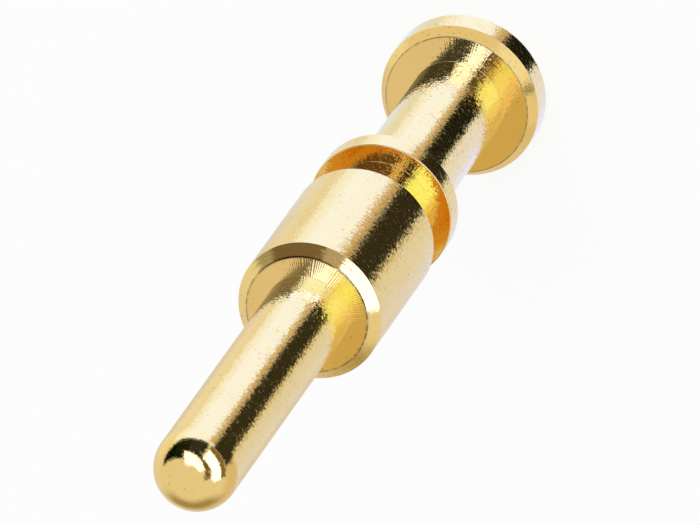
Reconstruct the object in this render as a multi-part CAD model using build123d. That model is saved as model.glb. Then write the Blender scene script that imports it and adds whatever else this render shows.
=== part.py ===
from build123d import *
from math import radians, tan
import os

# Crimp pin contact, turned from one brass bar and gold plated all over.
# Millimetres. Z is the turning axis and points to the mating tip.
# The origin is the centre of the rear face, the face the contact stands on.

# Mating pin
pin_d = 2.00
pin_len = 9.30              # shoulder face to the top of the round tip

# Locating body behind the shoulder
body_d = 3.46
body_len = 4.37             # shoulder face to the front wall of the groove
shoulder_face_d = 2.95      # flat left inside the lead-in chamfer
shoulder_chamfer_len = 0.23

# Retention groove and the thin flange that closes it
neck_d = 2.58
groove_w = 1.35
flange_d = body_d           # both keep the diameter of the bar
flange_t = 0.58

# Crimp barrel
barrel_d = 2.27
barrel_len = 5.50

# Rear collar around the wire entry
collar_d = 3.86
collar_t = 0.90
collar_face_d = 3.50        # flat left inside the front chamfer
collar_chamfer_len = 0.26

# Blind wire bore
wire_bore_d = 1.45
bore_wall_len = 5.90        # straight wall between the funnel and the drill point
funnel_d = 2.25             # mouth of the funnel that gathers the strands
funnel_angle = 90           # included angle of the funnel
drill_point_angle = 118     # included angle of the drill point

# Outer edges are broken, inside corners keep the nose radius of the tool
edge_r = 0.04
corner_r = 0.06

# Stations along the axis, from the rear face to the tip
collar_chamfer_z = collar_t - collar_chamfer_len
flange_rear_z = collar_t + barrel_len
flange_front_z = flange_rear_z + flange_t
body_rear_z = flange_front_z + groove_w
shoulder_z = body_rear_z + body_len
shoulder_chamfer_z = shoulder_z - shoulder_chamfer_len
tip_z = shoulder_z + pin_len
tip_centre_z = tip_z - pin_d / 2

# Depths of the wire bore, from the rear face
funnel_len = (funnel_d - wire_bore_d) / 2 / tan(radians(funnel_angle / 2))
bore_wall_end_z = funnel_len + bore_wall_len
drill_point_z = bore_wall_end_z + wire_bore_d / 2 / tan(radians(drill_point_angle / 2))

# Corners of the half section as (radius, height), rear face first
collar_rear = (collar_d / 2, 0)
collar_front = (collar_d / 2, collar_chamfer_z)
collar_face_rim = (collar_face_d / 2, collar_t)
barrel_rear = (barrel_d / 2, collar_t)
barrel_front = (barrel_d / 2, flange_rear_z)
flange_rear = (flange_d / 2, flange_rear_z)
flange_front = (flange_d / 2, flange_front_z)
neck_rear = (neck_d / 2, flange_front_z)
neck_front = (neck_d / 2, body_rear_z)
body_rear = (body_d / 2, body_rear_z)
body_front = (body_d / 2, shoulder_chamfer_z)
shoulder_rim = (shoulder_face_d / 2, shoulder_z)
pin_root = (pin_d / 2, shoulder_z)
pin_front = (pin_d / 2, tip_centre_z)

outer_edges = [
    collar_rear, collar_front, collar_face_rim, flange_rear,
    flange_front, body_rear, body_front, shoulder_rim,
]
inside_corners = [barrel_rear, barrel_front, neck_rear, neck_front, pin_root]


def corners(sketch, stations):
    """Vertices of a half section that lie at the given (radius, height) stations."""
    return [
        sketch.vertices().sort_by_distance(Vector(radius, height))[0]
        for radius, height in stations
    ]


# Outside: one half section with all its radii, turned about the axis.
# The tip is a quarter circle of the pin's own radius, so it ends as a full ball.
with BuildPart() as contact:
    with BuildSketch(Plane.XZ) as section:
        with BuildLine():
            Polyline(
                (0, tip_z), (0, 0), collar_rear, collar_front, collar_face_rim, barrel_rear,
                barrel_front, flange_rear, flange_front, neck_rear, neck_front,
                body_rear, body_front, shoulder_rim, pin_root, pin_front,
            )
            CenterArc((0, tip_centre_z), pin_d / 2, 0, 90)
        make_face()
        fillet(corners(section, outer_edges), radius=edge_r)
        fillet(corners(section, inside_corners), radius=corner_r)
    revolve(axis=Axis.Z)

    # Wire entry: a funnel, the straight bore and the cone left by the drill.
    with BuildSketch(Plane.XZ) as bore:
        with BuildLine():
            Polyline(
                (0, 0), (funnel_d / 2, 0), (wire_bore_d / 2, funnel_len),
                (wire_bore_d / 2, bore_wall_end_z), (0, drill_point_z), close=True,
            )
        make_face()
    revolve(axis=Axis.Z, mode=Mode.SUBTRACT)

    # The mouth of the funnel is deburred, so no strand is cut on its way in.
    mouth = contact.edges().filter_by(GeomType.CIRCLE).group_by(Axis.Z)[0].sort_by(SortBy.RADIUS)[0]
    fillet(mouth, radius=edge_r)

os.makedirs("parts", exist_ok=True)
export_step(contact.part, "parts/contact.step")
print("contact", contact.part.bounding_box(), "volume", round(contact.part.volume, 3))
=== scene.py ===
# %% [markdown]
# A crimp pin contact, seen close up. The real one is about as long as a thumb is wide. It is a brass rod,
# turned on a small lathe and then plated with gold. This lesson dresses its CAD model for a picture.
# Everything is in metres and in the frame of the CAD model: Z is the turning axis, the contact stands
# on its rear face at the origin and its round tip points up.

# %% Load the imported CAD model
import math
import bpy
import numpy as np
from mathutils import Matrix, Vector


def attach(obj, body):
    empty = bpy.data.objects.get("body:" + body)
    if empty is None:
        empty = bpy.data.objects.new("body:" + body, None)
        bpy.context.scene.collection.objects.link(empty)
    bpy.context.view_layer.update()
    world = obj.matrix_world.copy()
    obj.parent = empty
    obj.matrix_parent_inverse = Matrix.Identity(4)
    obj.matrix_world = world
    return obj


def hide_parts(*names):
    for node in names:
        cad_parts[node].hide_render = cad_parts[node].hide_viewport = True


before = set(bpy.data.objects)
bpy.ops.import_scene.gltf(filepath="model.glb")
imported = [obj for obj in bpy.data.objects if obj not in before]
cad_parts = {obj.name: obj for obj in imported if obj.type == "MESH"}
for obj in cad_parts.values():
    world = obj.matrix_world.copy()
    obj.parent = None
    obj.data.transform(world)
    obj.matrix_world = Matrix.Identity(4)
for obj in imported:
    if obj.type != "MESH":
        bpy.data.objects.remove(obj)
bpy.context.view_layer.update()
MM = 0.001

# %% [markdown]
# The contact is one turned piece, so its whole form is one line turned about the axis. The line is first
# written down as the corners that a drawing would give, each with its radius. The CAD mesh has the same
# form in few facets; bright gold mirrors every facet, so a finer surface takes its place here. A mesh
# worked out from the line is better than a subdivided copy, because its normals are exact.
#
# Some forms here are finer than in the CAD model. A step 0.028 mm deep runs along the rim of the shoulder
# face, where the real part shows a thin dark line. The shoulder and the front of the collar rise by
# 3 degrees towards the axis, which aims what they mirror. The inside corners are sharper.

# %% The corners of the drawing: radius from the axis, height above the rear face, corner radius, in mm
PIN_R, PIN_TOP = 1.00, 22.00
SHOULDER_Z, SHOULDER_FACE_R = 12.70, 1.475
BODY_R, BODY_FRONT_Z, BODY_REAR_Z = 1.73, 12.45, 8.33
NECK_R, FLANGE_FRONT_Z, FLANGE_REAR_Z = 1.29, 6.98, 6.40
BARREL_R = 1.135
COLLAR_R, COLLAR_FACE_R, COLLAR_Z, COLLAR_CHAMFER_Z = 1.93, 1.75, 0.90, 0.64
BORE_R, FUNNEL_R, FUNNEL_Z, BORE_END_Z = 0.725, 1.125, 0.40, 6.30
DRILL_HALF_ANGLE = math.radians(59)
EDGE_R, NOOK_R, RIM_R = 0.03, 0.006, 0.006
STEP_DROP, STEP_WIDTH = 0.028, 0.022
CONED = math.tan(math.radians(3.0))

drill_tip_z = BORE_END_Z + BORE_R / math.tan(DRILL_HALF_ANGLE)
shoulder_root = SHOULDER_Z + (SHOULDER_FACE_R - PIN_R) * CONED
collar_root = COLLAR_Z + (COLLAR_FACE_R - BARREL_R) * CONED
corners = [
    (0, PIN_TOP, 0), (PIN_R, PIN_TOP, PIN_R), (PIN_R, shoulder_root, NOOK_R),
    (SHOULDER_FACE_R - STEP_WIDTH, SHOULDER_Z, RIM_R), (SHOULDER_FACE_R, SHOULDER_Z - STEP_DROP, RIM_R),
    (BODY_R, BODY_FRONT_Z, EDGE_R), (BODY_R, BODY_REAR_Z, EDGE_R),
    (NECK_R, BODY_REAR_Z, NOOK_R), (NECK_R, FLANGE_FRONT_Z, NOOK_R),
    (BODY_R, FLANGE_FRONT_Z, EDGE_R), (BODY_R, FLANGE_REAR_Z, EDGE_R),
    (BARREL_R, FLANGE_REAR_Z, NOOK_R), (BARREL_R, collar_root, NOOK_R),
    (COLLAR_FACE_R, COLLAR_Z, EDGE_R), (COLLAR_R, COLLAR_CHAMFER_Z, EDGE_R), (COLLAR_R, 0, EDGE_R),
    (FUNNEL_R, 0, EDGE_R), (BORE_R, FUNNEL_Z, EDGE_R), (BORE_R, BORE_END_Z, EDGE_R), (0, drill_tip_z, 0),
]
print("corners on the drawing:", len(corners))

# %% [markdown]
# Each corner becomes a small arc that touches both of its straight runs. Short runs beside the arcs let
# the masks for worn edges and for the painted shade in the nooks fade out over a few hundredths of a
# millimetre. The round tip is one such corner too, with the pin's own radius.

# %% Round the corners
ARC_STEPS, BALL_STEPS = 7, 40
BALL_FROM = 0.5
FADE, MOST_OF_RUN = 0.05, 0.3
FADE_STOPS = np.array([0.9, 0.45])


def crossed(first, second):
    """Cross product of two flat vectors: above 0 where the second lies to the left of the first."""
    return first[0] * second[1] - first[1] * second[0]


def rounded_line(points):
    """The line with its corners rounded, as arrays of (radius, height), normal and bend.

    At a corner the arc's centre lies on the bisector, at r / sin(half the angle) from the corner, and
    the arc runs between the two feet of the centre on the straight runs. The normal at a point of the
    arc is the unit vector between centre and point, pointing out of the metal. The bend is +1 on an
    outer edge, -1 in an inside corner and falls to 0 over the length FADE along the runs, or sooner
    where a run is short. A radius above BALL_FROM is the round tip, which has no bend.
    """
    at, out, bend = [], [], []
    for before, here, after in zip(points, points[1:], points[2:]):
        corner, radius = np.array(here[:2], float), here[2]
        to_before = np.array(before[:2]) - corner
        to_after = np.array(after[:2]) - corner
        fade_in = min(FADE, MOST_OF_RUN * np.linalg.norm(to_before))
        fade_out = min(FADE, MOST_OF_RUN * np.linalg.norm(to_after))
        to_before /= np.linalg.norm(to_before)
        to_after /= np.linalg.norm(to_after)
        half = math.acos(np.clip(to_before @ to_after, -1, 1)) / 2
        outer = 1.0 if crossed(to_before, to_after) > 0 else -1.0
        middle = to_before + to_after
        centre = corner + middle / np.linalg.norm(middle) * radius / math.sin(half)
        start = corner + to_before * radius / math.tan(half) - centre
        end = corner + to_after * radius / math.tan(half) - centre
        steps = BALL_STEPS if radius > BALL_FROM else ARC_STEPS
        sweep = (math.pi - 2 * half) * np.linspace(0, 1, steps + 1)
        sweep = sweep * (1 if crossed(start, end) > 0 else -1)
        ray = np.stack([start[0] * np.cos(sweep) - start[1] * np.sin(sweep),
                        start[0] * np.sin(sweep) + start[1] * np.cos(sweep)], 1)
        arc = centre + ray
        normal = ray / radius * outer
        if radius > BALL_FROM:
            at.append(arc)
            out.append(normal)
            bend.append(np.zeros(len(arc)))
            continue
        run_in = FADE_STOPS[:, None] * fade_in * to_before + arc[0]
        run_out = FADE_STOPS[::-1, None] * fade_out * to_after + arc[-1]
        at.append(np.concatenate([run_in, arc, run_out]))
        out.append(np.concatenate([normal[:1]] * 2 + [normal] + [normal[-1:]] * 2))
        bend.append(outer * np.concatenate([[0, 0.5], np.ones(len(arc)), [0.5, 0]]))
    at = np.concatenate(at + [np.array([points[-1][:2]], float)])
    out = np.concatenate(out + [out[-1][-1:]])
    bend = np.concatenate(bend + [[0.0]])
    return at, out, bend


line, line_normal, line_bend = rounded_line(corners)
gap = np.linalg.norm(np.diff(line, axis=0), axis=1)
along = np.concatenate([[0], np.cumsum(gap)])
print("line:", len(line), "points, from", np.round(line[0], 3), "to", np.round(line[-1], 3))
print("length of the line, mm:", round(float(along[-1]), 2), "shortest step:", round(float(gap.min()), 4))

# %% [markdown]
# Turning the line makes the surface: point (i, j) lies at the line's point i, carried round by angle j.
# The two ends of the line lie on the axis, so each of them is one vertex with a fan of triangles.

# %% Turn a line into a closed skin
ROUND_STEPS = 256


def carried_round(rows):
    """Each (radius, height) carried round the axis, as (radius cos a, radius sin a, height) for angle a.

    The first and the last row lie on the axis and give one point each.
    """
    angle = np.linspace(0, 2 * math.pi, ROUND_STEPS, endpoint=False)
    wheel = np.stack([np.cos(angle), np.sin(angle)], 1)
    flat = rows[1:-1, None, :1] * wheel[None]
    tall = np.broadcast_to(rows[1:-1, None, 1:], (len(rows) - 2, ROUND_STEPS, 1))
    body = np.concatenate([flat, tall], 2).reshape(-1, 3)
    return np.concatenate([[[0, 0, rows[0, 1]]], body, [[0, 0, rows[-1, 1]]]])


def turned_skin(name, at, out, values):
    """Mesh of the line turned about Z, with exact normals and one value per vertex for each mask.

    Its normal at a vertex is the line's normal there, carried round by the vertex's own angle.
    """
    rings = len(at) - 2
    here = np.arange(rings * ROUND_STEPS).reshape(rings, ROUND_STEPS) + 1
    beside = np.roll(here, -1, axis=1)
    quads = np.stack([here[:-1], here[1:], beside[1:], beside[:-1]], -1).reshape(-1, 4)
    top = np.stack([np.zeros_like(here[0]), here[0], beside[0]], -1)
    bottom = np.stack([here[-1], np.full_like(here[-1], rings * ROUND_STEPS + 1), beside[-1]], -1)
    mesh = bpy.data.meshes.new(name)
    mesh.from_pydata(carried_round(at * MM), [], top.tolist() + quads.tolist() + bottom.tolist())
    mesh.shade_smooth()
    normals = carried_round(out)
    normals /= np.linalg.norm(normals, axis=1)[:, None]
    mesh.normals_split_custom_set_from_vertices(normals)
    for key, value in values.items():
        spread = np.concatenate([value[:1], np.repeat(value[1:-1], ROUND_STEPS), value[-1:]])
        layer = mesh.attributes.new(key, "FLOAT", "POINT")
        layer.data.foreach_set("value", spread.astype(np.float32))
    made = bpy.data.objects.new(name, mesh)
    bpy.context.scene.collection.objects.link(made)
    triangles = sum(len(face.vertices) - 2 for face in mesh.polygons)
    print(name, "vertices", len(mesh.vertices), "triangles", triangles)
    return made


# %% [markdown]
# The gold's material has to know where on the part it is. Masks along the line say so: the length
# travelled along it, the outer edges and the nooks, the walls of the groove, and the two rims, where a thin
# dark line of painted shade is laid. A rim mask falls off with distance as exp(-distance squared).

# %% The masks, and the turned contact
STEP_MIDDLE = (SHOULDER_FACE_R - STEP_WIDTH / 2, SHOULDER_Z - STEP_DROP / 2)
COLLAR_RIM = (COLLAR_FACE_R - 0.006, COLLAR_Z - 0.002)
# How wide the painted shade line is at the shoulder step and at the collar rim, and its share on the collar.
STEP_LINE_WIDTH, COLLAR_LINE_WIDTH, COLLAR_LINE_SHARE = 0.026, 0.013, 0.75
HAIR, WALL_FOOT = 0.001, 0.004

from_step = np.linalg.norm(line - STEP_MIDDLE, axis=1) / STEP_LINE_WIDTH
from_collar_rim = np.linalg.norm(line - COLLAR_RIM, axis=1) / COLLAR_LINE_WIDTH
in_groove = (line[:, 1] > FLANGE_FRONT_Z - HAIR) & (line[:, 1] < BODY_REAR_Z + HAIR)
on_walls = (line[:, 0] > NECK_R + WALL_FOOT) & (line[:, 0] < BODY_R)
contact = turned_skin("turned_contact", line, line_normal, {
    "along": along,
    "rim": np.exp(-from_step ** 2) + COLLAR_LINE_SHARE * np.exp(-from_collar_rim ** 2),
    "groove": (in_groove & on_walls).astype(float),
    "edge": np.clip(line_bend, 0, 1),
    "nook": np.clip(-line_bend, 0, 1),
})
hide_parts("contact")
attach(contact, "root")

# %% [markdown]
# Shader graphs read more easily when a short helper adds a node, sets its values and wires its inputs.

# %% Node helpers


def add(tree, kind, *inputs, **settings):
    """A node of this kind; each input is a socket to link or a value, in the order of the sockets."""
    node = tree.nodes.new(kind)
    for key, value in settings.items():
        setattr(node, key, value)
    for socket, value in zip(node.inputs, inputs):
        if isinstance(value, bpy.types.NodeSocket):
            tree.links.new(value, socket)
        elif value is not None:
            socket.default_value = value
    return node


def maths(tree, operation, *inputs):
    """One Math node and its result."""
    return add(tree, "ShaderNodeMath", *inputs, operation=operation).outputs[0]


def vector(tree, operation, *inputs):
    """One Vector Math node and its vector result."""
    return add(tree, "ShaderNodeVectorMath", *inputs, operation=operation).outputs[0]


def ramp(tree, value, low, high, to_low=0.0, to_high=1.0):
    """A smooth step of the value from one limit to the other."""
    return add(tree, "ShaderNodeMapRange", value, low, high, to_low, to_high,
               interpolation_type="SMOOTHSTEP").outputs[0]


def noise(tree, place, scale, detail):
    """Noise between 0 and 1, with this many features to a unit of the place."""
    return add(tree, "ShaderNodeTexNoise", place, None, scale, detail, noise_dimensions="3D").outputs[0]


def mask(tree, name):
    """The value of one of the masks along the line."""
    return add(tree, "ShaderNodeAttribute", attribute_name=name).outputs["Fac"]


def blend(tree, factor, first, second):
    """Colour that goes from the first to the second as the factor goes from 0 to 1."""
    node = add(tree, "ShaderNodeMix", data_type="RGBA")
    for socket, value in zip((node.inputs[0], node.inputs[6], node.inputs[7]), (factor, first, second)):
        if isinstance(value, bpy.types.NodeSocket):
            tree.links.new(value, socket)
        else:
            socket.default_value = value
    return node.outputs[2]


def even(tree, colour):
    """A node that gives the same colour everywhere, for a chain of blends to start from."""
    node = add(tree, "ShaderNodeRGB")
    node.outputs[0].default_value = colour
    return node.outputs[0]


def group(name, inputs, outputs):
    """A node group with number inputs {name: start}, its outputs {name: kind}, and its two ends."""
    made = bpy.data.node_groups.new(name, "ShaderNodeTree")
    for label, start in inputs.items():
        socket = made.interface.new_socket(label, in_out="INPUT", socket_type="NodeSocketFloat")
        socket.default_value = start
    for label, kind in outputs.items():
        made.interface.new_socket(label, in_out="OUTPUT", socket_type=kind)
    given = {socket.name: socket for socket in made.nodes.new("NodeGroupInput").outputs}
    return made, given, made.nodes.new("NodeGroupOutput").inputs


def rgb(red, green, blue):
    """A linear colour with full alpha."""
    return (red, green, blue, 1.0)


# %% [markdown]
# Polished metal has no colour of its own to show apart from what it mirrors. A small turned part is
# photographed inside a white tent with a few openings: the tent gives the broad pale tone, the
# openings and the dark gap beside the lamp give the black bands that make metal look like metal. A world
# colour would do for that, but it lies infinitely far away. This tent is a ball of 40 mm round the tip,
# so the collar, 20 mm lower, sees its bands shifted, as in a real close-up. Only mirror rays meet it.
# Azimuth is counted from the camera's side, which is -Y, and grows toward +X.
#
# A patch on the tent has a soft edge. Its two sides lie at equal azimuths from its centre, and its lower
# and upper limit may slant, by so many degrees of elevation for each degree of azimuth.

# %% A soft-edged patch on the tent
card, given, made_mask = group("tent patch", {
    "Azimuth": 0.0, "Elevation": 0.0, "Centre": 0.0, "Half width": 10.0, "Low": -10.0, "High": 10.0,
    "Slant low": 0.0, "Slant high": 0.0, "Soft": 4.0,
}, {"Mask": "NodeSocketFloat"})
turn = maths(card, "WRAP", maths(card, "SUBTRACT", given["Azimuth"], given["Centre"]), 180.0, -180.0)
half_soft = maths(card, "MULTIPLY", given["Soft"], 0.5)
sides = ramp(card, maths(card, "ABSOLUTE", turn), maths(card, "ADD", given["Half width"], half_soft),
             maths(card, "SUBTRACT", given["Half width"], half_soft))
low_line = maths(card, "ADD", given["Low"], maths(card, "MULTIPLY", turn, given["Slant low"]))
high_line = maths(card, "ADD", given["High"], maths(card, "MULTIPLY", turn, given["Slant high"]))
above = ramp(card, given["Elevation"], maths(card, "SUBTRACT", low_line, half_soft),
             maths(card, "ADD", low_line, half_soft))
below = ramp(card, given["Elevation"], maths(card, "ADD", high_line, half_soft),
             maths(card, "SUBTRACT", high_line, half_soft))
card.links.new(maths(card, "MULTIPLY", maths(card, "MULTIPLY", sides, above), below), made_mask[0])
print("nodes in the tent patch:", len(card.nodes))

# %% [markdown]
# The patches are laid over each other in the order of their list. Each has a title, its centre and half
# width in azimuth, its lower and upper limit in elevation, the slant of both limits and the softness of
# its edge, all in degrees, and its colour. The lamp panels are a little blue, which takes the gold to the
# cream that strong light gives it.
#
# One tent round the whole part isn't enough, because the real table, lamp and stand were close, and each
# part of the contact saw them from its own place. So there is a main list for what a ray meets at its
# first look, and three short ones for the shoulder chamfer, for the faces square to the axis and for the
# chamfer of the collar.

# %% What the metal mirrors at the first look
PATCHES = [
    ("floor near the contact", (0, 180, -100, -68, 0, 0, 10), rgb(0.82, 0.94, 1.22)),
    ("shaded wall", (-100, 62, -52, -6, 0, 0, 26), rgb(0.73, 0.66, 0.62)),
    ("floor on the right", (-95, 34, -68, -50, 0, 0, 16), rgb(0.80, 0.84, 1.08)),
    ("floor on the left", (98, 32, -68, -13, 0, 0.10, 30), rgb(0.92, 0.91, 0.90)),
    ("pale floor on the right", (-102, 44, -80, -69, 0, 0, 6), rgb(0.87, 0.96, 1.62)),
    ("white floor panel", (37, 45, -100, -17, 0, -0.07, 14), rgb(1.03, 1.25, 2.45)),
    ("cream edge of the panel", (75, 9, -100, -17, 0, -0.07, 12), rgb(1.01, 1.15, 1.72)),
    ("warm edge of the panel", (4, 9, -100, -22, 0, 0, 12), rgb(0.66, 0.54, 0.44)),
    ("olive far side", (-153, 36, -19, 17, 0, 0, 30), rgb(0.38, 0.32, 0.19)),
    ("dark opening, right part", (92, 30, -6, 25, 0.38, -0.55, 12), rgb(0.004, 0.008, 0.006)),
    ("dark opening", (42, 34, -17, 33, 0, 0.06, 7), rgb(0.012, 0.016, 0.012)),
    ("glow in the opening", (28, 18, -12, 22, 0, 0, 12), rgb(0.035, 0.038, 0.045)),
    ("dark gap beside the lamp", (-27, 25, -100, -9, 0, 0, 12), rgb(0.036, 0.034, 0.025)),
    ("deep end of the gap", (-30, 24, -100, -69, 0, 0, 8), rgb(0.010, 0.012, 0.011)),
    ("lamp frame below", (-34, 36, -9, 9, -0.13, -0.13, 6), rgb(0.22, 0.17, 0.09)),
    ("lamp frame above", (-28, 40, 32, 47, -0.24, -0.24, 7), rgb(0.17, 0.12, 0.06)),
    ("low lamp", (-36, 37, 6, 33, -0.14, -0.06, 6), rgb(1.9, 2.1, 3.9)),
    ("high lamp", (16, 42, 34, 59, -0.36, -0.04, 7), rgb(2.1, 2.2, 3.6)),
]
SEEN_FROM_CHAMFER = [
    ("pale wall by the post", (118, 12, -12, 14, 0, 0, 10), rgb(0.73, 0.74, 0.84)),
    ("gold side of the post", (102, 13, -8, 24, 0, 0, 12), rgb(0.42, 0.40, 0.40)),
    ("brown post", (56, 37, 4, 35, 0, 0, 9), rgb(0.19, 0.15, 0.115)),
    ("pale edge of the post", (15, 14, 4, 36, 0, 0, 8), rgb(0.47, 0.43, 0.46)),
]
SEEN_FROM_FACES = [
    ("plain wall above", (180, 60, 20, 100, 0, 0, 6), rgb(0.77, 0.71, 0.74)),
    ("deeper gold on the right", (-150, 27, 20, 100, 0, 0, 8), rgb(0.65, 0.50, 0.27)),
]
COLLAR_CHAMFER_TONE = rgb(0.83, 0.77, 0.77)
SEEN_FROM_COLLAR_CHAMFER = [
    ("lamp side", (-24, 22, -100, 100, 0, 0, 12), rgb(0.96, 0.96, 1.10)),
    ("gap", (-57, 4, -100, 100, 0, 0, 8), rgb(0.34, 0.34, 0.26)),
]

# %% [markdown]
# Where the part mirrors itself, light meets gold twice and comes out deeper, from orange in shade to a
# full yellow in lamp light: on the shoulder face, which shows the pin, on the pin's root, which shows the
# shoulder, on the front of the collar and the barrel beside it, and between the walls of the groove. Those
# rays meet the tent at their second look. The colours are stronger in blue for it, because gold takes
# away most of the blue each time. The groove and the collar have their own patches over the shoulder's.

# %% What the metal mirrors at the second look
SECOND_LOOK_TONE = rgb(0.66, 0.57, 0.45)
SECOND_LOOK = [
    ("orange side", (-128, 34, -100, 100, 0, 0, 18), rgb(0.95, 0.85, 0.75)),
    ("yellow side", (-58, 40, -100, 100, 0, 0, 16), rgb(1.08, 1.48, 1.20)),
    ("dusk", (128, 26, -100, 100, 0, 0, 44), rgb(0.36, 0.37, 0.48)),
    ("dark side", (87, 32, -100, 100, 0, 0, 14), rgb(0.22, 0.25, 0.42)),
    ("white lamp", (26, 32, -100, 100, 0, 0, 8), rgb(1.6, 2.2, 9.0)),
    ("orange on the flank", (-138, 50, -30, 52.5, 0, 0, 6), rgb(0.80, 0.77, 0.72)),
    ("deep orange on the flank", (-165, 25, -30, 52.5, 0, 0, 6), rgb(0.70, 0.60, 0.42)),
    ("gold on the flank", (-82, 12, -30, 52.5, 0, 0, 6), rgb(0.98, 1.10, 1.40)),
    ("pale yellow on the flank", (-45, 26, -30, 52.5, 0, 0, 6), rgb(1.10, 1.50, 2.20)),
    ("yellow lamp on the flank", (26, 34, -30, 52.5, 0, 0, 6), rgb(1.08, 1.68, 5.80)),
    ("between the groove walls", (0, 180, -100, -56, 0, 0, 10), rgb(0.70, 0.58, 0.52)),
]
SECOND_LOOK_IN_GROOVE = [
    ("bright flank", (-42, 32, 0, 100, 0, 0, 8), rgb(1.14, 2.00, 3.20)),
    ("brown shade", (67, 42, 0, 100, 0, 0, 10), rgb(0.13, 0.085, 0.06)),
    ("dark gap", (1, 12, 0, 100, 0, 0, 6), rgb(0.06, 0.04, 0.04)),
    ("narrow lamp", (20, 8, 0, 100, 0, 0, 7), rgb(0.80, 0.80, 1.30)),
]
SECOND_LOOK_ON_COLLAR = [
    ("orange face", (-128, 34, 45, 100, 0, 0, 8), rgb(0.95, 0.85, 0.75)),
    ("deeper yellow face", (-58, 40, 45, 100, 0, 0, 8), rgb(1.00, 1.20, 1.20)),
    ("plain gold face", (-22, 15, 45, 100, 0, 0, 8), rgb(0.58, 0.54, 0.50)),
    ("plain gold flank", (-18, 7, 0, 45, 0, 0, 8), rgb(0.62, 0.58, 0.50)),
    ("olive shade", (128, 24, 0, 100, 0, 0, 24), rgb(0.17, 0.23, 0.34)),
    ("darker side", (82, 40, 0, 100, 0, 0, 12), rgb(0.05, 0.065, 0.12)),
    ("brown gap", (-4, 14, 0, 100, 0, 0, 8), rgb(0.13, 0.12, 0.14)),
    ("narrower lamp", (30, 20, 0, 100, 0, 0, 6), rgb(1.6, 2.3, 9.0)),
]
lists = (PATCHES, SEEN_FROM_CHAMFER, SEEN_FROM_FACES, SEEN_FROM_COLLAR_CHAMFER,
         SECOND_LOOK, SECOND_LOOK_IN_GROOVE, SECOND_LOOK_ON_COLLAR)
print("patches on the tent:", sum(len(patches) for patches in lists))

# %% [markdown]
# The tent itself is turned from a half circle. It isn't attached to the contact, and neither the camera
# nor plain light knows of it: only rays that left a glossy surface do.

# %% Hang the tent
TENT_R, TENT_STEPS = 40.0, 64
BALL_CENTRE_Z = PIN_TOP - PIN_R
arc = np.linspace(0, math.pi, TENT_STEPS)
tent_line = np.stack([TENT_R * np.sin(arc), BALL_CENTRE_Z + TENT_R * np.cos(arc)], 1)
tent_line[[0, -1], 0] = 0
tent = turned_skin("photo_tent", tent_line, np.stack([np.sin(arc), np.cos(arc)], 1), {})
tent.visible_camera = tent.visible_diffuse = tent.visible_transmission = tent.visible_shadow = False

# %% [markdown]
# The cloth glows with the colour of the place where a ray lands, given by azimuth and elevation. Which
# list counts depends on where the ray comes from. The length of its flight tells, since the tent is
# centred on the tip: the lower a place on the contact, the longer the flight up. From most of the ball
# tip it is below 39.5 mm, from the near half of the shoulder chamfer 40 to 43 mm and from the faces above
# 46 mm. After a second mirroring it is about 46 mm from the shoulder, 50 to 51 mm from the groove and 55
# to 57 mm from the collar. The collar's chamfer sends its rays slightly down. Their length rises with the
# elevation of the landing place, on a straight line, and rays from higher up fly further than that.

# %% Where a ray lands, and what the cloth shows there
CHAMFER_REACH, FACES_REACH = (39.45, 39.75), (42, 44)
GROOVE_REACH, COLLAR_REACH = (48.3, 49.3), (51.4, 52.2)
COLLAR_CHAMFER_REACH, REACH_PER_DEGREE, TOO_FAR = 43.06, 0.338, (0.9, 0.4)
COLLAR_CHAMFER_LANDING = (4, 100, -45, -14, 0, 0, 8)
SECOND_MIRRORING = (1.4, 1.6)
WALL_LIMITS, LOW_WALL, HIGH_WALL = (-60, -10), rgb(0.75, 0.69, 0.60), rgb(0.82, 0.81, 0.89)

cloth = bpy.data.materials.new("tent cloth and lamps")
cloth.use_nodes = True
weave = cloth.node_tree
weave.nodes.clear()
landing = add(weave, "ShaderNodeTexCoord").outputs["Object"]
from_tip = vector(weave, "SUBTRACT", landing, (0, 0, BALL_CENTRE_Z * MM))
way = add(weave, "ShaderNodeSeparateXYZ", vector(weave, "NORMALIZE", from_tip)).outputs
azimuth = maths(weave, "DEGREES", maths(weave, "ARCTAN2", way[0], maths(weave, "MULTIPLY", way[1], -1.0)))
elevation = maths(weave, "DEGREES", maths(weave, "ARCSINE", way[2]))
flight = add(weave, "ShaderNodeLightPath").outputs
reach = maths(weave, "DIVIDE", flight["Ray Length"], MM)


def patch_mask(numbers, title):
    """The mask of one patch with these numbers."""
    return add(weave, "ShaderNodeGroup", azimuth, elevation, *numbers, node_tree=card, label=title).outputs[0]


def lay(shade, patches):
    """The colour after each patch of the list is blended over it by its mask."""
    for title, numbers, colour in patches:
        shade = blend(weave, patch_mask(numbers, title), shade, colour)
    return shade


# %% [markdown]
# The looks are worked out one by one and then blended by the length of the flight. How often the ray has
# been mirrored picks between the first and the second look.

# %% Put the looks together
wall = blend(weave, ramp(weave, elevation, *WALL_LIMITS), LOW_WALL, HIGH_WALL)
once = lay(wall, PATCHES)
once = blend(weave, ramp(weave, reach, *CHAMFER_REACH), once, lay(once, SEEN_FROM_CHAMFER))
once = blend(weave, ramp(weave, reach, *FACES_REACH), once, lay(once, SEEN_FROM_FACES))
chamfer_reach = maths(weave, "MULTIPLY_ADD", elevation, REACH_PER_DEGREE, COLLAR_CHAMFER_REACH)
beyond = maths(weave, "SUBTRACT", reach, chamfer_reach)
landed = patch_mask(COLLAR_CHAMFER_LANDING, "landing of the collar's chamfer")
from_collar_chamfer = maths(weave, "MULTIPLY", ramp(weave, beyond, *TOO_FAR), landed)
collar_chamfer_look = lay(even(weave, COLLAR_CHAMFER_TONE), SEEN_FROM_COLLAR_CHAMFER)
once = blend(weave, from_collar_chamfer, once, collar_chamfer_look)

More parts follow.
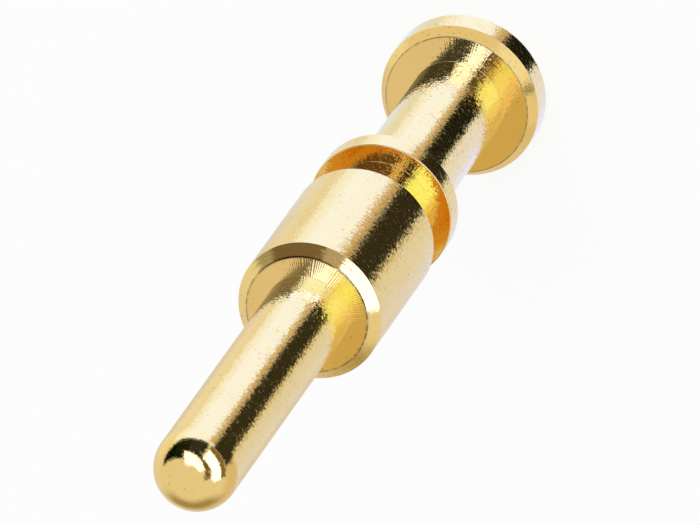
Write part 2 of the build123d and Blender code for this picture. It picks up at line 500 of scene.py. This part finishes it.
shoulder_look = lay(even(weave, SECOND_LOOK_TONE), SECOND_LOOK)
groove_look = lay(shoulder_look, SECOND_LOOK_IN_GROOVE)
collar_look = lay(shoulder_look, SECOND_LOOK_ON_COLLAR)
twice = blend(weave, ramp(weave, reach, *GROOVE_REACH), shoulder_look, groove_look)
twice = blend(weave, ramp(weave, reach, *COLLAR_REACH), twice, collar_look)

again = ramp(weave, flight["Glossy Depth"], *SECOND_MIRRORING)
glow = add(weave, "ShaderNodeEmission", blend(weave, again, once, twice), 1.0)
weave.links.new(glow.outputs[0], add(weave, "ShaderNodeOutputMaterial").inputs[0])
tent.data.materials.append(cloth)
print("nodes in the tent cloth:", len(weave.nodes))

# %% [markdown]
# Outside the tent the room is a plain soft grey light, and the camera sees it as white.

# %% The room outside the tent
world = bpy.data.worlds.new("white room")
bpy.context.scene.world = world
world.use_nodes = True
room = world.node_tree
room.nodes.clear()
seen = add(room, "ShaderNodeLightPath").outputs["Is Camera Ray"]
sky = add(room, "ShaderNodeBackground", blend(room, seen, rgb(0.7, 0.7, 0.7), rgb(1, 1, 1)), 1.0)
room.links.new(sky.outputs[0], add(room, "ShaderNodeOutputWorld").inputs[0])
print("nodes in the room:", len(room.nodes))

# %% [markdown]
# The floor is white card. A small bright part on white card floats in a catalogue picture, with
# hardly any shadow, so most of what the camera sees of the floor is plain white and only a little of it
# is lit. Mirror rays pass through it to the tent below, which stands for the lit table.

# %% The floor
FLOOR_HALF, PLAIN_SHARE = 0.6, 0.88
floor_mesh = bpy.data.meshes.new("floor")
floor_mesh.from_pydata([(-FLOOR_HALF, -FLOOR_HALF, 0), (FLOOR_HALF, -FLOOR_HALF, 0),
                        (FLOOR_HALF, FLOOR_HALF, 0), (-FLOOR_HALF, FLOOR_HALF, 0)], [], [(0, 1, 2, 3)])
floor = bpy.data.objects.new("floor", floor_mesh)
bpy.context.scene.collection.objects.link(floor)
card_white = bpy.data.materials.new("white card")
card_white.use_nodes = True
paper = card_white.node_tree
paper.nodes.clear()
looked_at = add(paper, "ShaderNodeLightPath").outputs
lit = add(paper, "ShaderNodeBsdfDiffuse", rgb(0.9, 0.9, 0.9)).outputs[0]
plain = add(paper, "ShaderNodeEmission", rgb(1, 1, 1), 1.0).outputs[0]
plain_share = maths(paper, "MULTIPLY", looked_at["Is Camera Ray"], PLAIN_SHARE)
white = add(paper, "ShaderNodeMixShader", plain_share, lit, plain).outputs[0]
clear = add(paper, "ShaderNodeBsdfTransparent").outputs[0]
sheet = add(paper, "ShaderNodeMixShader", looked_at["Is Glossy Ray"], white, clear)
paper.links.new(sheet.outputs[0], add(paper, "ShaderNodeOutputMaterial").inputs[0])
floor_mesh.materials.append(card_white)
print("floor, mm:", 2 * FLOOR_HALF / MM)

# %% [markdown]
# Gold plating over turned brass. Four things break up its mirror: the marks of the turning tool, which run
# around the axis; their raggedness along the turn, which frays the edge of every reflection; chatter,
# the fine spokes that a shaking tool leaves on a flat face; and the grain of the plating, an orange
# peel of a few hundredths of a millimetre. Bump could draw them, but all of them are known as small
# tilts of the surface, so the normal is tilted directly: round the axis, along the line, or any way.
# They are a node group, so that any turned part can use them with its own sizes.

# %% Shared effect: a machined and plated surface, with its directions
machined, asked, handed_out = group("machined and plated", {
    "Grain tilt": 0.05, "Grain mm": 0.07, "Fray tilt": 0.05, "Fray mm": 0.04, "Fray turn": 0.12,
    "Mark tilt": 0.03, "Mark mm": 0.05, "Chatter tilt": 0.1, "Chatter count": 150,
}, {"Normal": "NodeSocketVector", "Marks": "NodeSocketFloat", "Calm": "NodeSocketFloat"})


def scaled(tree, value, factor):
    """A vector times a number."""
    node = add(tree, "ShaderNodeVectorMath", value, operation="SCALE")
    if isinstance(factor, bpy.types.NodeSocket):
        tree.links.new(factor, node.inputs["Scale"])
    else:
        node.inputs["Scale"].default_value = factor
    return node.outputs[0]


def place_in_mm(tree):
    """The place on the piece, in millimetres."""
    return scaled(tree, add(tree, "ShaderNodeTexCoord").outputs["Object"], 1 / MM)


def spoke_at(tree, place):
    """The unit vector from the axis to the place, square to the axis."""
    return vector(tree, "NORMALIZE", vector(tree, "MULTIPLY", place, (1, 1, 0)))


def swing(tree, value, tilt):
    """Noise between 0 and 1 as a tilt between minus and plus the given angle."""
    return maths(tree, "MULTIPLY", maths(tree, "MULTIPLY_ADD", value, 2.0, -1.0), tilt)


spot = place_in_mm(machined)
upright = add(machined, "ShaderNodeNewGeometry").outputs["Normal"]
travel = mask(machined, "along")
spoke = spoke_at(machined, spot)
around = vector(machined, "CROSS_PRODUCT", (0, 0, 1), spoke)
down_line = vector(machined, "CROSS_PRODUCT", around, upright)

# %% [markdown]
# A flat face, a chamfer and the round tip are cut with one light pass and look calmer than the long
# turned sides. How far the normal points along the axis tells them apart: about 0 on the sides, 1 on a
# flat face, 0.7 to 0.8 on the chamfers. The travel along the line picks out the tip.

# %% The grain of the plating, calmer on faces, chamfers and tip
FACE_LEVEL, SLOPE_LEVEL, TIP_TRAVEL = (0.80, 0.95), (0.50, 0.72), (1.9, 1.3)
CALMED = 0.65

level = maths(machined, "ABSOLUTE", add(machined, "ShaderNodeSeparateXYZ", upright).outputs[2])
face = ramp(machined, level, *FACE_LEVEL)
slope_or_tip = maths(machined, "MAXIMUM", ramp(machined, level, *SLOPE_LEVEL),
                     ramp(machined, travel, *TIP_TRAVEL))
calm = maths(machined, "MULTIPLY_ADD", slope_or_tip, -CALMED, 1.0)
peel = add(machined, "ShaderNodeTexNoise", spot, None, maths(machined, "DIVIDE", 1.0, asked["Grain mm"]), 1.0,
           noise_dimensions="3D").outputs["Color"]
peel_tilt = maths(machined, "MULTIPLY", maths(machined, "MULTIPLY", asked["Grain tilt"], 2.0), calm)
peel = scaled(machined, vector(machined, "SUBTRACT", peel, (0.5, 0.5, 0.5)), peel_tilt)

# %% [markdown]
# The raggedness is noise over the angle round the axis and the travel along the line, each with its own
# length, and tilts the normal round the axis. The tool marks are rings, so their noise runs along the
# line alone and tilts the normal along it. They are deeper on the chamfers.

# %% Raggedness and tool marks
FRAY_LEFT = 0.3
CHAMFER_FROM, CHAMFER_TO, PAST_TIP, CHAMFER_MARKS = (0.62, 0.70), (0.90, 0.80), (2.4, 2.8), 1.2

lift = maths(machined, "DIVIDE", travel, asked["Fray mm"])
lift = add(machined, "ShaderNodeCombineXYZ", 0.0, 0.0, lift).outputs[0]
spread_spoke = scaled(machined, spoke, maths(machined, "DIVIDE", 1.0, asked["Fray turn"]))
fray = noise(machined, vector(machined, "ADD", spread_spoke, lift), 1.0, 2.0)
fray_left = maths(machined, "MULTIPLY_ADD", calm, 1.0 - FRAY_LEFT, FRAY_LEFT)
fray_tilt = maths(machined, "MULTIPLY", asked["Fray tilt"], fray_left)
fray = scaled(machined, around, swing(machined, fray, fray_tilt))

steps = maths(machined, "DIVIDE", travel, asked["Mark mm"])
rings = add(machined, "ShaderNodeTexNoise", None, steps, 1.0, 2.0, noise_dimensions="1D").outputs[0]
steep_enough = ramp(machined, level, *CHAMFER_FROM)
chamfer = maths(machined, "MULTIPLY", steep_enough, ramp(machined, level, *CHAMFER_TO))
chamfer = maths(machined, "MULTIPLY", chamfer, ramp(machined, travel, *PAST_TIP))
streaky = maths(machined, "MULTIPLY_ADD", chamfer, CHAMFER_MARKS, calm)
mark_tilt = maths(machined, "MULTIPLY", swing(machined, rings, asked["Mark tilt"]), streaky)
mark = scaled(machined, down_line, mark_tilt)

# %% [markdown]
# Chatter is a wave over the angle round the axis, with an uneven start so that the spokes aren't all
# alike. It shows only on the faces, and more on the shoulder than on the collar.

# %% Chatter, and the tilted normal
UNEVEN_SCALE, UNEVEN_SHIFT = 6.0, 14.0
SHOULDER_TRAVEL, ON_COLLAR, ON_SHOULDER = (13.0, 12.0), 0.4, 1.5

parts = add(machined, "ShaderNodeSeparateXYZ", spoke).outputs
angle_round = maths(machined, "ARCTAN2", parts[1], parts[0])
turned_by = maths(machined, "MULTIPLY", angle_round, asked["Chatter count"])
uneven = noise(machined, scaled(machined, spoke, UNEVEN_SCALE), 1.0, 2.0)
wave = maths(machined, "SINE", maths(machined, "MULTIPLY_ADD", uneven, UNEVEN_SHIFT, turned_by))
wave = maths(machined, "MULTIPLY", maths(machined, "MULTIPLY", wave, asked["Chatter tilt"]), face)
wave = maths(machined, "MULTIPLY", wave, ramp(machined, travel, *SHOULDER_TRAVEL, ON_COLLAR, ON_SHOULDER))
spokes = scaled(machined, around, wave)

bent = vector(machined, "ADD", vector(machined, "ADD", upright, peel), vector(machined, "ADD", fray, mark))
bent = vector(machined, "NORMALIZE", vector(machined, "ADD", bent, spokes))
for label, result in (("Normal", bent), ("Marks", rings), ("Calm", calm)):
    machined.links.new(result, handed_out[label])
print("nodes in the machined surface:", len(machined.nodes))

# %% [markdown]
# Now the gold itself, in a material with the machined surface as its normal. The colour hardly changes:
# a slow cloud drifts through it, rubbed outer edges are a little paler, the walls of the groove carry a
# deeper painted shade, and the nooks a little browner painted shade.

# %% The gold: its surface and its colours
GOLD_SURFACE = {"Grain tilt": 0.12, "Grain mm": 0.06, "Fray tilt": 0.09, "Fray mm": 0.035, "Fray turn": 0.10,
                "Mark tilt": 0.05, "Mark mm": 0.045, "Chatter tilt": 0.045, "Chatter count": 150}
GOLD, GOLD_IN_CLOUDS = rgb(0.955, 0.715, 0.245), rgb(0.945, 0.695, 0.235)
RUBBED, GROOVE_PAINTED_SHADE, NOOK_PAINTED_SHADE = rgb(0.97, 0.77, 0.34), rgb(0.93, 0.60, 0.135), rgb(0.80, 0.50, 0.14)
RUBBED_SHARE, GROOVE_SHADE_SHARE, NOOK_SHADE_SHARE = 0.35, 0.8, 0.12

gold = bpy.data.materials.new("gold plating on turned brass")
gold.use_nodes = True
tree = gold.node_tree
skin = tree.nodes["Principled BSDF"]
surface = add(tree, "ShaderNodeGroup", node_tree=machined)
for key, value in GOLD_SURFACE.items():
    surface.inputs[key].default_value = value
tree.links.new(surface.outputs["Normal"], skin.inputs["Normal"])

on_gold = place_in_mm(tree)
cloud = noise(tree, on_gold, 0.9, 3.0)
tone = blend(tree, ramp(tree, cloud, 0.3, 0.7), GOLD, GOLD_IN_CLOUDS)
tone = blend(tree, maths(tree, "MULTIPLY", mask(tree, "edge"), RUBBED_SHARE), tone, RUBBED)
# Painted shade: the groove walls deeper and more orange.
tone = blend(tree, maths(tree, "MULTIPLY", mask(tree, "groove"), GROOVE_SHADE_SHARE), tone, GROOVE_PAINTED_SHADE)
# Painted shade: the inside corners a little browner.
tone = blend(tree, maths(tree, "MULTIPLY", mask(tree, "nook"), NOOK_SHADE_SHARE), tone, NOOK_PAINTED_SHADE)

# %% [markdown]
# The rims of the shoulder and the collar carry a thin brown line of painted shade, stronger or weaker by
# noise, and nearly black on one side of the shoulder. A few dark specks sit where the cloud is thick.

# %% The painted shade line at the rims, and the specks
SHADED_SIDE_AIM, SHADED_SIDE_LIMITS, SHADED_SIDE_HEIGHTS = (0.839, -0.545, 0), (0.88, 0.97), (9.0, 11.0)
SHADE_LINE_BROWN, SHADE_LINE_BLACK, SPECK_BROWN = rgb(0.13, 0.075, 0.03), rgb(0.03, 0.018, 0.008), rgb(0.50, 0.36, 0.13)
SHADE_LINE_NOISE_SCALE, SHADE_LINE_NOISE_LIMITS, SHADE_LINE_SHARES = 7.0, (0.36, 0.56), (0.35, 0.95)
SPECK_SCALE, SPECK_SHARE = 11.0, 0.6

# Painted shade: noise sets how strong the dark line at the rims is.
shade_line_strength = ramp(tree, noise(tree, on_gold, SHADE_LINE_NOISE_SCALE, 2.0), *SHADE_LINE_NOISE_LIMITS, *SHADE_LINE_SHARES)
# Painted shade: on one side of the shoulder, above a height of 9 to 11 mm, the rim line turns nearly black.
toward_shaded_side = add(tree, "ShaderNodeVectorMath", spoke_at(tree, on_gold), SHADED_SIDE_AIM,
                   operation="DOT_PRODUCT").outputs["Value"]
height = add(tree, "ShaderNodeSeparateXYZ", on_gold).outputs[2]
shaded_side = maths(tree, "MULTIPLY", ramp(tree, toward_shaded_side, *SHADED_SIDE_LIMITS), ramp(tree, height, *SHADED_SIDE_HEIGHTS))
rim = maths(tree, "MULTIPLY", mask(tree, "rim"), maths(tree, "MAXIMUM", shade_line_strength, shaded_side))
# Painted shade: the thin dark line along the shoulder and collar rims, laid into the base colour.
tone = blend(tree, rim, tone, blend(tree, shaded_side, SHADE_LINE_BROWN, SHADE_LINE_BLACK))
dots = noise(tree, on_gold, SPECK_SCALE, 0.0)
specks = maths(tree, "MULTIPLY", ramp(tree, dots, 0.73, 0.78), ramp(tree, cloud, 0.46, 0.60))
tone = blend(tree, maths(tree, "MULTIPLY", specks, SPECK_SHARE), tone, SPECK_BROWN)
tree.links.new(tone, skin.inputs["Base Color"])

# %% [markdown]
# The roughness follows the tool marks and a fine grit, and is lower where the surface is calm. Turning
# leaves fine rings, so the gloss is drawn out across them: the shader's anisotropy does it, with its
# direction taken round the axis.

# %% The gloss
GRIT_SCALE, GRIT_LIMITS, GRIT_ROUGHNESS = 11.0, (0.47, 0.76), (0.04, 0.27)
MARKS_ROUGHNESS, CALM_ROUGHNESS = 0.07, 0.5
DRAWN_OUT = 0.4

grit = ramp(tree, noise(tree, on_gold, GRIT_SCALE, 1.0), *GRIT_LIMITS, *GRIT_ROUGHNESS)
dull = maths(tree, "MULTIPLY_ADD", surface.outputs["Marks"], MARKS_ROUGHNESS, grit)
calmed = maths(tree, "MULTIPLY_ADD", surface.outputs["Calm"], 1.0 - CALM_ROUGHNESS, CALM_ROUGHNESS)
tree.links.new(maths(tree, "MULTIPLY", dull, calmed), skin.inputs["Roughness"])
skin.inputs["Metallic"].default_value = 1.0
skin.inputs["Anisotropic"].default_value = DRAWN_OUT
round_axis = add(tree, "ShaderNodeTangent", direction_type="RADIAL", axis="Z").outputs[0]
tree.links.new(round_axis, skin.inputs["Tangent"])
contact.data.materials.append(gold)
print("nodes in the gold:", len(tree.nodes))

# %% [markdown]
# The camera is a very long lens half a metre away, as a catalogue macro picture is taken: the pin is
# equally wide at both ends. It looks down on the round tip about 31 degrees off the axis and is rolled
# until the contact lies across the picture, tip at the lower left. Three readings place it: the pixel
# under the middle of the contact, the way its axis runs, in pixels from tip to rear, and the scale.

# %% The camera
OFF_AXIS, ROLL = 30.8, -0.43
LENS, SENSOR = 1100.0, 36.0
WIDE, TALL = 700, 525
PIXELS_PER_MM = 43.25
MIDDLE_AT = (328.5, 284.1)
READ_AXIS = (290.0, -400.0)
NEAREST, FARTHEST = 0.05, 5.0

tilt = math.radians(OFF_AXIS)
toward_camera = Vector((0, -math.sin(tilt), math.cos(tilt)))
away_from_tip = Vector((0, -math.cos(tilt), -math.sin(tilt)))
across = Vector((-1, 0, 0))
slope = math.atan2(READ_AXIS[1], READ_AXIS[0]) + math.radians(ROLL)
right = away_from_tip * math.cos(slope) - across * math.sin(slope)
down = away_from_tip * math.sin(slope) + across * math.cos(slope)
shift_right = (WIDE / 2 - MIDDLE_AT[0]) / PIXELS_PER_MM * MM
shift_down = (TALL / 2 - MIDDLE_AT[1]) / PIXELS_PER_MM * MM
aim = Vector((0, 0, PIN_TOP / 2 * MM)) + right * shift_right + down * shift_down
distance = LENS / SENSOR * WIDE / PIXELS_PER_MM * MM

camera_data = bpy.data.cameras.new("camera")
camera_data.lens, camera_data.sensor_width = LENS, SENSOR
camera_data.clip_start, camera_data.clip_end = NEAREST, FARTHEST
camera = bpy.data.objects.new("camera", camera_data)
bpy.context.scene.collection.objects.link(camera)
stand = Matrix((right, -down, toward_camera)).transposed().to_4x4()
stand.translation = aim + toward_camera * distance
camera.matrix_world = stand
bpy.context.scene.camera = camera
print("camera distance, m:", round(distance, 3), "handed:", round(right.cross(-down).dot(toward_camera), 3))

# %% [markdown]
# One soft lamp overhead gives the floor its faint shadow. The tent does the rest. The lamp itself isn't
# mirrored in the gold.

# %% Light and colour
LAMP_AT, LAMP_AIM, LAMP_SIZE, LAMP_WATTS = (0.12, -0.10, 0.30), (0, 0, 0.005), 0.25, 0.35
lamp_data = bpy.data.lights.new("soft overhead lamp", "AREA")
lamp_data.shape, lamp_data.size, lamp_data.energy = "DISK", LAMP_SIZE, LAMP_WATTS
lamp = bpy.data.objects.new("soft overhead lamp", lamp_data)
lamp.location = LAMP_AT
lamp.rotation_euler = (Vector(LAMP_AIM) - lamp.location).to_track_quat("-Z", "Y").to_euler()
lamp.visible_glossy = False
bpy.context.scene.collection.objects.link(lamp)
bpy.context.scene.view_settings.view_transform = "Standard"
print("lamp, m from the contact:", round(lamp.location.length, 3))
